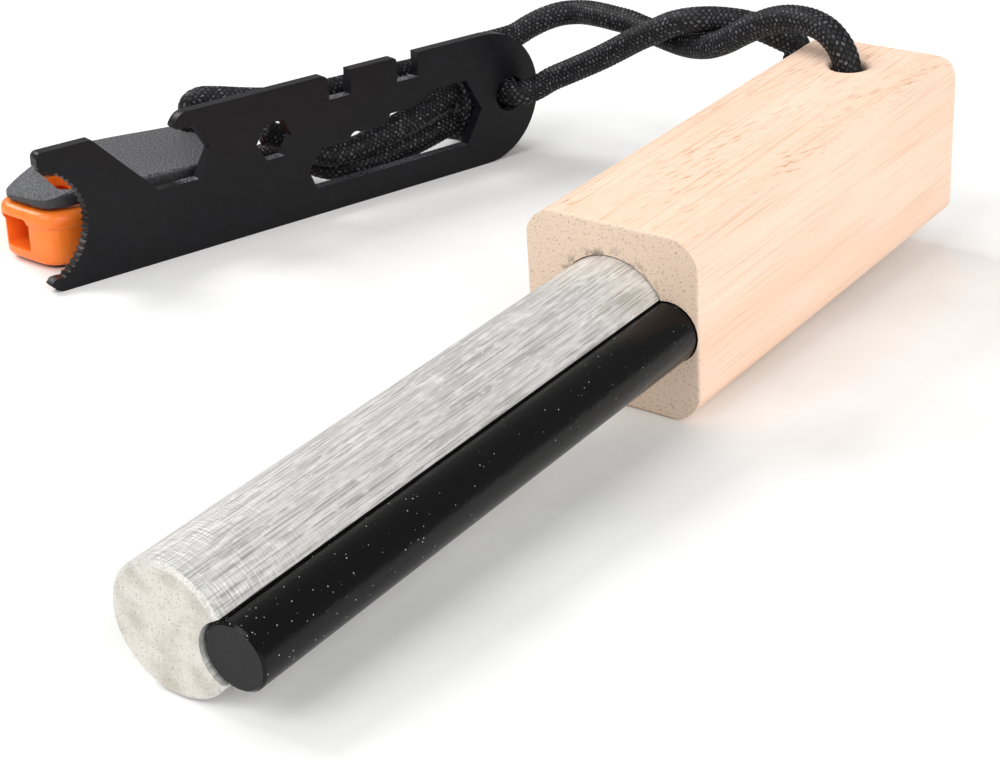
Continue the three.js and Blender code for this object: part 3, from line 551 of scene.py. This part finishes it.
def beech_faces(tree, place, upward):
    """The long faces: pale and warm in slow bands, with fine lines, and darker rays on top.

    Gives the colour, and how deep the lines and rays lie.
    """
    tone = long_grain(tree, place, BAND_SIZE, detail=4)
    band = add(tree, "ShaderNodeMapRange", {}, {"Value": tone, **BAND_TONES})
    wood = add(tree, "ShaderNodeMix", OF_COLOURS, {"Factor": band, "A": BEECH_LIGHT, "B": BEECH_WARM})
    line = long_grain(tree, place, LINE_SIZE, detail=3)
    lines = add(tree, "ShaderNodeMapRange", SMOOTH, {"Value": line, **LINES_SHOWN})
    wood = add(tree, "ShaderNodeMix", OF_COLOURS, {"Factor": lines, "A": wood, "B": BEECH_LINE})
    ray = long_grain(tree, place, RAY_SIZE, detail=2, turn=RAY_TURN)
    rays = add(tree, "ShaderNodeMapRange", SMOOTH, {"Value": ray, **RAYS_SHOWN})
    patch = long_grain(tree, place, RAY_PATCH, detail=2)
    crowded = add(tree, "ShaderNodeMapRange", SMOOTH, {"Value": patch, **RAYS_CROWDED})
    gathered = add(tree, "ShaderNodeMath", MULTIPLIED, {"Value": [rays, crowded]})
    on_top = add(tree, "ShaderNodeMapRange", SMOOTH, {"Value": upward, **TOP_FACE})
    shown = add(tree, "ShaderNodeMath", MULTIPLIED, {"Value": [gathered, on_top]})
    wood = add(tree, "ShaderNodeMix", OF_COLOURS, {"Factor": shown, "A": wood, "B": BEECH_RAY})
    dip = add(tree, "ShaderNodeMath", ADDED, {"Value": [shown, lines]})
    return wood, dip


def beech_ends(tree, place, backward):
    """The sawn ends: duller, with pores in slanting rows, and darker in patches close round the rods.

    The dark patches keep to the front end, and fade out with their distance from the rods' axis. Gives the
    colour, and how deep the pores lie.
    """
    cells = long_grain(tree, place, PORE_SIZE, detail=1, turn=PORE_TURN)
    pore = add(tree, "ShaderNodeMapRange", SMOOTH, {"Value": cells, **PORES_SHOWN})
    end = add(tree, "ShaderNodeMix", OF_COLOURS, {"Factor": pore, "A": END_GRAIN, "B": END_PORE})
    spread = add(tree, "ShaderNodeSeparateXYZ", {}, {"Vector": place}).node.outputs
    sideways = add(tree, "ShaderNodeCombineXYZ", {}, {"Y": spread["Y"], "Z": spread["Z"]})
    # The front end turns darker in irregular patches close round the rods.
    from_axis = {"Vector": [sideways, (0, 0, ROD_HEIGHT)]}
    distance = add(tree, "ShaderNodeVectorMath", {"operation": "DISTANCE"}, from_axis)
    rim = add(tree, "ShaderNodeMapRange", {}, {"Value": distance, **DARK_RIM_REACH})
    dark_patch = add(tree, "ShaderNodeTexNoise", {}, {"Vector": place, "Scale": DARK_PATCHES_PER_MM, "Detail": 5})
    dark_patches = add(tree, "ShaderNodeMapRange", {}, {"Value": dark_patch, **DARK_PATCHES_SHOWN})
    front = add(tree, "ShaderNodeMapRange", {}, {"Value": backward, **FRONT_FACE})
    near_rods = add(tree, "ShaderNodeMath", MULTIPLIED, {"Value": [rim, dark_patches]})
    darkened = add(tree, "ShaderNodeMath", MULTIPLIED, {"Value": [near_rods, front]})
    end = add(tree, "ShaderNodeMix", OF_COLOURS, {"Factor": darkened, "A": end, "B": ROD_RIM_DARK})
    return end, pore


def sanded_beech():
    """Sanded beech, left bare: pale and matt, with its faces and its sawn ends each in their grain."""
    material, tree = new_material("sanded_beech")
    place = in_the_handle(tree)
    outward = facing(tree)
    wood, dip = beech_faces(tree, place, outward["Z"])
    end, pore = beech_ends(tree, place, outward["X"])
    endwise = add(tree, "ShaderNodeMath", {"operation": "ABSOLUTE"}, {"Value": outward["X"]})
    sawn = add(tree, "ShaderNodeMapRange", SMOOTH, {"Value": endwise, **SAWN_FACES})
    colour = add(tree, "ShaderNodeMix", OF_COLOURS, {"Factor": sawn, "A": wood, "B": end})
    hollow = add(tree, "ShaderNodeMix", OF_NUMBERS, {"Factor": sawn, "A": dip, "B": pore})
    relief = add(tree, "ShaderNodeBump", {"invert": True}, {"Height": hollow, **BEECH_RELIEF})
    surface(tree, {"Base Color": colour, "Normal": relief, **BEECH_SHEEN})
    return material


edged(dressed("handle", sanded_beech()), WALL_ANGLE)

# Magnesium rod: drawn bar, dulled by white oxide, with the drawing lines along it, cross marks of
# the striker near its tip and a cream, pitted sawn end.
MAGNESIUM = "#E2E1DE"
MAGNESIUM_DULL = "#A09F9A"
MAGNESIUM_OXIDE = "#E6E5E2"
MAGNESIUM_FLECK = "#FFFFFF"
SAWN_END = "#D9D5CD"
SAWN_CLOUD = "#BDB7AC"
SAWN_PIT = "#99938A"
BARE_METALLIC = 0.45
OXIDE_METALLIC = 0.3
SAWN_METALLIC = 0.1
BARE_ROUGHNESS = 0.42
OXIDE_ROUGHNESS = 0.6
DRAWN_LINE = (10, 0.2, 0.2)
DRAWN_LINES_SHOWN = {"From Min": 0.3, "From Max": 0.6}
OXIDE_SIZE = (2.2, 0.6, 0.6)
OXIDE_SHOWN = {"From Min": 0.46, "From Max": 0.72, "To Max": 0.7}
FLECK_SIZE = (1.1, 0.35, 0.35)
FLECKS_SHOWN = {"From Min": 0.66, "From Max": 0.76, "To Max": 0.7}
STRIKE_SIZE = (0.34, 3, 3)
STRUCK_TIP = {"From Min": -50, "From Max": -78}
PIT_SPACING = 0.3
PITS_SHOWN = {"From Min": 0.54, "From Max": 0.72}
CLOUDS_PER_MM = 0.3
CLOUDS_SHOWN = {"From Min": 0.45, "From Max": 0.7}
SAWN_FACE = {"From Min": -0.6, "From Max": -0.9}
MAGNESIUM_RELIEF = {"Strength": 0.75, "Distance": 0.14 * MM}


def magnesium_wall(tree, place):
    """The drawn wall: grey streaks along the bar, with clouds and flecks of pale oxide.

    Gives the colour, the streaks and how much oxide there is.
    """
    streak = long_grain(tree, place, DRAWN_LINE, detail=4)
    lines = add(tree, "ShaderNodeMapRange", {}, {"Value": streak, **DRAWN_LINES_SHOWN})
    metal = add(tree, "ShaderNodeMix", OF_COLOURS, {"Factor": lines, "A": MAGNESIUM_DULL, "B": MAGNESIUM})
    cloud = long_grain(tree, place, OXIDE_SIZE, detail=6)
    oxide = add(tree, "ShaderNodeMapRange", SMOOTH, {"Value": cloud, **OXIDE_SHOWN})
    metal = add(tree, "ShaderNodeMix", OF_COLOURS, {"Factor": oxide, "A": metal, "B": MAGNESIUM_OXIDE})
    flecks = long_grain(tree, place, FLECK_SIZE, detail=2)
    fleck = add(tree, "ShaderNodeMapRange", SMOOTH, {"Value": flecks, **FLECKS_SHOWN})
    metal = add(tree, "ShaderNodeMix", OF_COLOURS, {"Factor": fleck, "A": metal, "B": MAGNESIUM_FLECK})
    return metal, streak, oxide


def magnesium_end(tree, place):
    """The sawn end: cream, with soft darker clouds and small pits. Gives the colour and the pits."""
    pits = add(tree, "ShaderNodeTexNoise", {}, {"Vector": place, "Scale": 1 / PIT_SPACING, "Detail": 6})
    pit = add(tree, "ShaderNodeMapRange", SMOOTH, {"Value": pits, **PITS_SHOWN})
    cloud = add(tree, "ShaderNodeTexNoise", {}, {"Vector": place, "Scale": CLOUDS_PER_MM, "Detail": 5})
    dull = add(tree, "ShaderNodeMapRange", {}, {"Value": cloud, **CLOUDS_SHOWN})
    end = add(tree, "ShaderNodeMix", OF_COLOURS, {"Factor": dull, "A": SAWN_END, "B": SAWN_CLOUD})
    end = add(tree, "ShaderNodeMix", OF_COLOURS, {"Factor": pit, "A": end, "B": SAWN_PIT})
    return end, pits


def drawn_magnesium():
    """Drawn magnesium: a soft grey metal, streaked along its length and clouded by pale oxide.

    The streaks stand out, with the striker's cross marks over them near the tip, and the sawn end
    has its pits instead.
    """
    material, tree = new_material("drawn_magnesium")
    place = in_the_handle(tree)
    metal, streak, oxide = magnesium_wall(tree, place)
    end, pits = magnesium_end(tree, place)
    sawn = add(tree, "ShaderNodeMapRange", SMOOTH, {"Value": facing(tree)["X"], **SAWN_FACE})
    colour = add(tree, "ShaderNodeMix", OF_COLOURS, {"Factor": sawn, "A": metal, "B": end})
    bare = {"Factor": oxide, "A": BARE_METALLIC, "B": OXIDE_METALLIC}
    metallic = add(tree, "ShaderNodeMix", OF_NUMBERS, bare)
    metallic = add(tree, "ShaderNodeMix", OF_NUMBERS, {"Factor": sawn, "A": metallic, "B": SAWN_METALLIC})
    dulled = {"Factor": oxide, "A": BARE_ROUGHNESS, "B": OXIDE_ROUGHNESS}
    rough = add(tree, "ShaderNodeMix", OF_NUMBERS, dulled)
    along = add(tree, "ShaderNodeSeparateXYZ", {}, {"Vector": place}).node.outputs["X"]
    tip = add(tree, "ShaderNodeMapRange", SMOOTH, {"Value": along, **STRUCK_TIP})
    strike = long_grain(tree, place, STRIKE_SIZE, detail=2)
    strikes = add(tree, "ShaderNodeMath", MULTIPLIED, {"Value": [strike, tip]})
    both = add(tree, "ShaderNodeMath", ADDED, {"Value": [strikes, streak]})
    height = add(tree, "ShaderNodeMix", OF_NUMBERS, {"Factor": sawn, "A": both, "B": pits})
    relief = add(tree, "ShaderNodeBump", {}, {"Height": height, **MAGNESIUM_RELIEF})
    surface(tree, {"Base Color": colour, "Metallic": metallic, "Roughness": rough, "Normal": relief})
    return material


edged(dressed("magnesium_rod", drawn_magnesium()), WALL_ANGLE)

# Ferro rod: a cast rod of iron and cerium in a glossy black coat, with painted glints as pale specks in
# its pits, more of them near the tip, where it is struck. Its end is ground flat and matt.
FERRO_COAT = "#040405"
FERRO_GLINT_PAINTED = "#B8B8BC"
FERRO_END = "#242426"
FERRO_PIT = (1.6, 0.7, 0.7)
GLINT_SPACING = 0.7
GLINT_SPECKS = {"From Min": 0.13, "From Max": 0.06}
GLINTING_PITS = {"From Min": 0.54, "From Max": 0.62}
STRUCK_STRETCH = {"From Min": -40, "From Max": -78, "To Max": 0.12}
GROUND_FACE = {"From Min": -0.75, "From Max": -0.95}
FERRO_ROUGHNESS = 0.22
GROUND_ROUGHNESS = 0.6
FERRO_RELIEF = {"Strength": 0.4, "Distance": 0.1 * MM}
FERRO_SHEEN = {"Specular IOR Level": 0.2}


def coated_ferro():
    """Coated ferrocerium: glossy black, a little wavy, with round pale specks of painted glint in its
    pits.
    """
    material, tree = new_material("coated_ferrocerium")
    place = in_the_handle(tree)
    wave = long_grain(tree, place, FERRO_PIT, detail=5)
    spaced = {"Vector": place, "Scale": 1 / GLINT_SPACING}
    cells = add(tree, "ShaderNodeTexVoronoi", {"feature": "F1"}, spaced)
    speck = add(tree, "ShaderNodeMapRange", {}, {"Value": cells, **GLINT_SPECKS})
    along = add(tree, "ShaderNodeSeparateXYZ", {}, {"Vector": place}).node.outputs["X"]
    struck = add(tree, "ShaderNodeMapRange", {}, {"Value": along, **STRUCK_STRETCH})
    rougher = add(tree, "ShaderNodeMath", ADDED, {"Value": [wave, struck]})
    pit = add(tree, "ShaderNodeMapRange", {}, {"Value": rougher, **GLINTING_PITS})
    # Painted glints: pale specks in the pits, more of them near the struck tip.
    pit_painted_glint = add(tree, "ShaderNodeMath", MULTIPLIED, {"Value": [speck, pit]})
    coat = add(tree, "ShaderNodeMix", OF_COLOURS, {"Factor": pit_painted_glint, "A": FERRO_COAT, "B": FERRO_GLINT_PAINTED})
    ground = add(tree, "ShaderNodeMapRange", SMOOTH, {"Value": facing(tree)["X"], **GROUND_FACE})
    colour = add(tree, "ShaderNodeMix", OF_COLOURS, {"Factor": ground, "A": coat, "B": FERRO_END})
    matt = {"Factor": ground, "A": FERRO_ROUGHNESS, "B": GROUND_ROUGHNESS}
    rough = add(tree, "ShaderNodeMix", OF_NUMBERS, matt)
    relief = add(tree, "ShaderNodeBump", {}, {"Height": wave, **FERRO_RELIEF})
    surface(tree, {"Base Color": colour, "Roughness": rough, "Normal": relief, **FERRO_SHEEN})
    return material


edged(dressed("ferro_rod", coated_ferro()), WALL_ANGLE)

# Adhesive: two-part epoxy behind both rods, poured into the socket before they go in and set to a
# hard amber.
EPOXY_AMBER = "#C9B184"
EPOXY_PALE = "#E0D2AE"
EPOXY_CLOUD = 3 * MM
EPOXY_SHEEN = {"Roughness": 0.2}


def set_epoxy():
    """Set epoxy: glossy amber with paler clouds where it mixed unevenly."""
    material, tree = new_material("set_epoxy")
    place = add(tree, "ShaderNodeTexCoord", {}, {}).node.outputs["Object"]
    cloud = add(tree, "ShaderNodeTexNoise", {}, {"Vector": place, "Scale": 1 / EPOXY_CLOUD, "Detail": 3})
    colour = add(tree, "ShaderNodeMix", OF_COLOURS, {"Factor": cloud, "A": EPOXY_AMBER, "B": EPOXY_PALE})
    surface(tree, {"Base Color": colour, **EPOXY_SHEEN})
    return material


edged(dressed("rod_adhesive", set_epoxy()), WALL_ANGLE)

# Striker: spring steel plate, laser cut and coated satin black by hot blacking. The coat is rubbed through
# to specks of bare steel on the floors of its openings, behind the scraper and below the top edge; the
# specks are kept to floors that face up and painted bright there as a highlight.
COAT_BLACK = "#060609"
COAT_WORN = "#0C0C12"
BARE_STEEL_HIGHLIGHT = "#C4C6CC"
RUBBED_BELOW = {"From Min": 20.5 * MM, "From Max": 19.5 * MM}
RUBBED_BEYOND = {"From Min": 10 * MM, "From Max": 12 * MM}
LEVEL_WALL = {"From Min": 0.88, "From Max": 0.98}
MOTTLE_SIZE = 1.6 * MM
MOTTLE_TONES = {"From Min": 0.3, "From Max": 0.75}
SPECK_SIZE = 0.22 * MM
SPECKS_BARE = {"From Min": 0.5, "From Max": 0.62}
COAT_ROUGHNESS = 0.34
WORN_ROUGHNESS = 0.42
STEEL_RELIEF = {"Strength": 0.06, "Distance": 0.04 * MM}
STEEL_SHEEN = {"Specular IOR Level": 0.22}
EDGE_BREAK = 0.14 * MM
EDGE_BREAK_STEPS = 2
BREAK_ANGLE = np.radians(50)
FLAT_ANGLE = np.radians(1)


def blacked_steel():
    """Blacked steel: a satin black, faintly mottled, with bare specks and a painted highlight on the
    openings' floors.
    """
    material, tree = new_material("blacked_steel")
    place = add(tree, "ShaderNodeTexCoord", {}, {}).node.outputs["Object"]
    spot = add(tree, "ShaderNodeSeparateXYZ", {}, {"Vector": place}).node.outputs
    level = add(tree, "ShaderNodeMapRange", {}, {"Value": facing(tree)["Z"], **LEVEL_WALL})
    below = add(tree, "ShaderNodeMapRange", {}, {"Value": spot["Z"], **RUBBED_BELOW})
    beyond = add(tree, "ShaderNodeMapRange", {}, {"Value": spot["X"], **RUBBED_BEYOND})
    inside = add(tree, "ShaderNodeMath", MULTIPLIED, {"Value": [below, beyond]})
    on_floor = add(tree, "ShaderNodeMath", MULTIPLIED, {"Value": [inside, level]})
    mottle = add(tree, "ShaderNodeTexNoise", {}, {"Vector": place, "Scale": 1 / MOTTLE_SIZE, "Detail": 6})
    soft = add(tree, "ShaderNodeMapRange", {}, {"Value": mottle, **MOTTLE_TONES})
    coat = add(tree, "ShaderNodeMix", OF_COLOURS, {"Factor": soft, "A": COAT_BLACK, "B": COAT_WORN})
    specks = add(tree, "ShaderNodeTexNoise", {}, {"Vector": place, "Scale": 1 / SPECK_SIZE, "Detail": 3})
    bare = add(tree, "ShaderNodeMapRange", SMOOTH, {"Value": specks, **SPECKS_BARE})
    # Specks of bare steel on floors that face up, painted bright there as a highlight too.
    worn_and_highlit = add(tree, "ShaderNodeMath", MULTIPLIED, {"Value": [on_floor, bare]})
    colour = add(tree, "ShaderNodeMix", OF_COLOURS, {"Factor": worn_and_highlit, "A": coat, "B": BARE_STEEL_HIGHLIGHT})
    satin = {"Factor": soft, "A": COAT_ROUGHNESS, "B": WORN_ROUGHNESS}
    rough = add(tree, "ShaderNodeMix", OF_NUMBERS, satin)
    relief = add(tree, "ShaderNodeBump", {}, {"Height": specks, **STEEL_RELIEF})
    finish = {"Metallic": worn_and_highlit, "Roughness": rough, "Normal": relief}
    surface(tree, {"Base Color": colour, **finish, **STEEL_SHEEN})
    return material


# The plate's flat faces are made whole again, and then its sharp edges are broken a little.
striker = dressed("striker", blacked_steel())
striker_faces = striker.modifiers.new("faces", "DECIMATE")
striker_faces.decimate_type = "DISSOLVE"
striker_faces.angle_limit = FLAT_ANGLE
striker_edges = striker.modifiers.new("edges", "BEVEL")
striker_edges.width = EDGE_BREAK
striker_edges.segments = EDGE_BREAK_STEPS
striker_edges.limit_method = "ANGLE"
striker_edges.angle_limit = BREAK_ANGLE
striker_edges.use_clamp_overlap = True
striker.modifiers.new("flat", "WEIGHTED_NORMAL")

# Whistle: three mouldings welded together. The body is glossy orange, the shells are black with a
# spark-eroded grain on their faces.
BODY_ORANGE = "#FF8A34"
BODY_DEEP = "#FF7920"
ORANGE_CLOUD = 5 * MM
ORANGE_TONES = {"From Min": 0.3, "From Max": 0.7}
ORANGE_WAVE = 0.8 * MM
ORANGE_RELIEF = {"Strength": 0.12, "Distance": 0.05 * MM}
ORANGE_GLOSS = {"Roughness": 0.32}
ORANGE_DEPTH = {
    "Subsurface Weight": 0.3,
    "Subsurface Radius": (2 * MM, 0.7 * MM, 0.2 * MM),
    "Subsurface Scale": 1.0,
}
SHELL_BLACK = "#28282B"
SHELL_PEBBLE_HIGHLIGHT = "#6C6C71"
# The mould's real grain is about 0.1 mm. It is drawn coarser, so that it shows.
PEBBLE_SIZE = 0.3 * MM
PEBBLE_TOPS = {"From Min": 0.38, "From Max": 0.66}
LIT_FACES = {"From Min": 0.3, "From Max": 0.9, "To Min": 0.22}
SHELL_RELIEF = {"Strength": 0.5, "Distance": 0.1 * MM}
SHELL_SHEEN = {"Roughness": 0.55}
MOULDING_ANGLE = np.radians(38)


def moulded_orange():
    """Moulded ABS: bright orange and glossy, a touch deeper in slow clouds, with faint waves."""
    material, tree = new_material("orange_moulding")
    place = add(tree, "ShaderNodeTexCoord", {}, {}).node.outputs["Object"]
    cloud = add(tree, "ShaderNodeTexNoise", {}, {"Vector": place, "Scale": 1 / ORANGE_CLOUD, "Detail": 2})
    tone = add(tree, "ShaderNodeMapRange", {}, {"Value": cloud, **ORANGE_TONES})
    colour = add(tree, "ShaderNodeMix", OF_COLOURS, {"Factor": tone, "A": BODY_ORANGE, "B": BODY_DEEP})
    wave = add(tree, "ShaderNodeTexNoise", {}, {"Vector": place, "Scale": 1 / ORANGE_WAVE, "Detail": 3})
    relief = add(tree, "ShaderNodeBump", {}, {"Height": wave, **ORANGE_RELIEF})
    surface(tree, {"Base Color": colour, "Normal": relief, **ORANGE_GLOSS, **ORANGE_DEPTH})
    return material


def grained_black():
    """Grained ABS: charcoal black, pebbled by the mould, with painted highlights on the pebbles' tops.

    The painted highlights show most on faces that look up.
    """
    material, tree = new_material("black_moulding")
    place = add(tree, "ShaderNodeTexCoord", {}, {}).node.outputs["Object"]
    # Painted highlights on the pebbles' tops, strongest on faces that look up.
    lit = add(tree, "ShaderNodeMapRange", {}, {"Value": facing(tree)["Z"], **LIT_FACES})
    pebble = add(tree, "ShaderNodeTexNoise", {}, {"Vector": place, "Scale": 1 / PEBBLE_SIZE, "Detail": 4})
    top = add(tree, "ShaderNodeMapRange", SMOOTH, {"Value": pebble, **PEBBLE_TOPS})
    shown = add(tree, "ShaderNodeMath", MULTIPLIED, {"Value": [top, lit]})
    colour = add(tree, "ShaderNodeMix", OF_COLOURS, {"Factor": shown, "A": SHELL_BLACK, "B": SHELL_PEBBLE_HIGHLIGHT})
    relief = add(tree, "ShaderNodeBump", {}, {"Height": pebble, **SHELL_RELIEF})
    surface(tree, {"Base Color": colour, "Normal": relief, **SHELL_SHEEN})
    return material


black_moulding = grained_black()
for moulding, finish in (
    ("whistle_body", moulded_orange()),
    ("whistle_top_shell", black_moulding),
    ("whistle_bottom_shell", black_moulding),
):
    edged(dressed(moulding, finish), MOULDING_ANGLE)
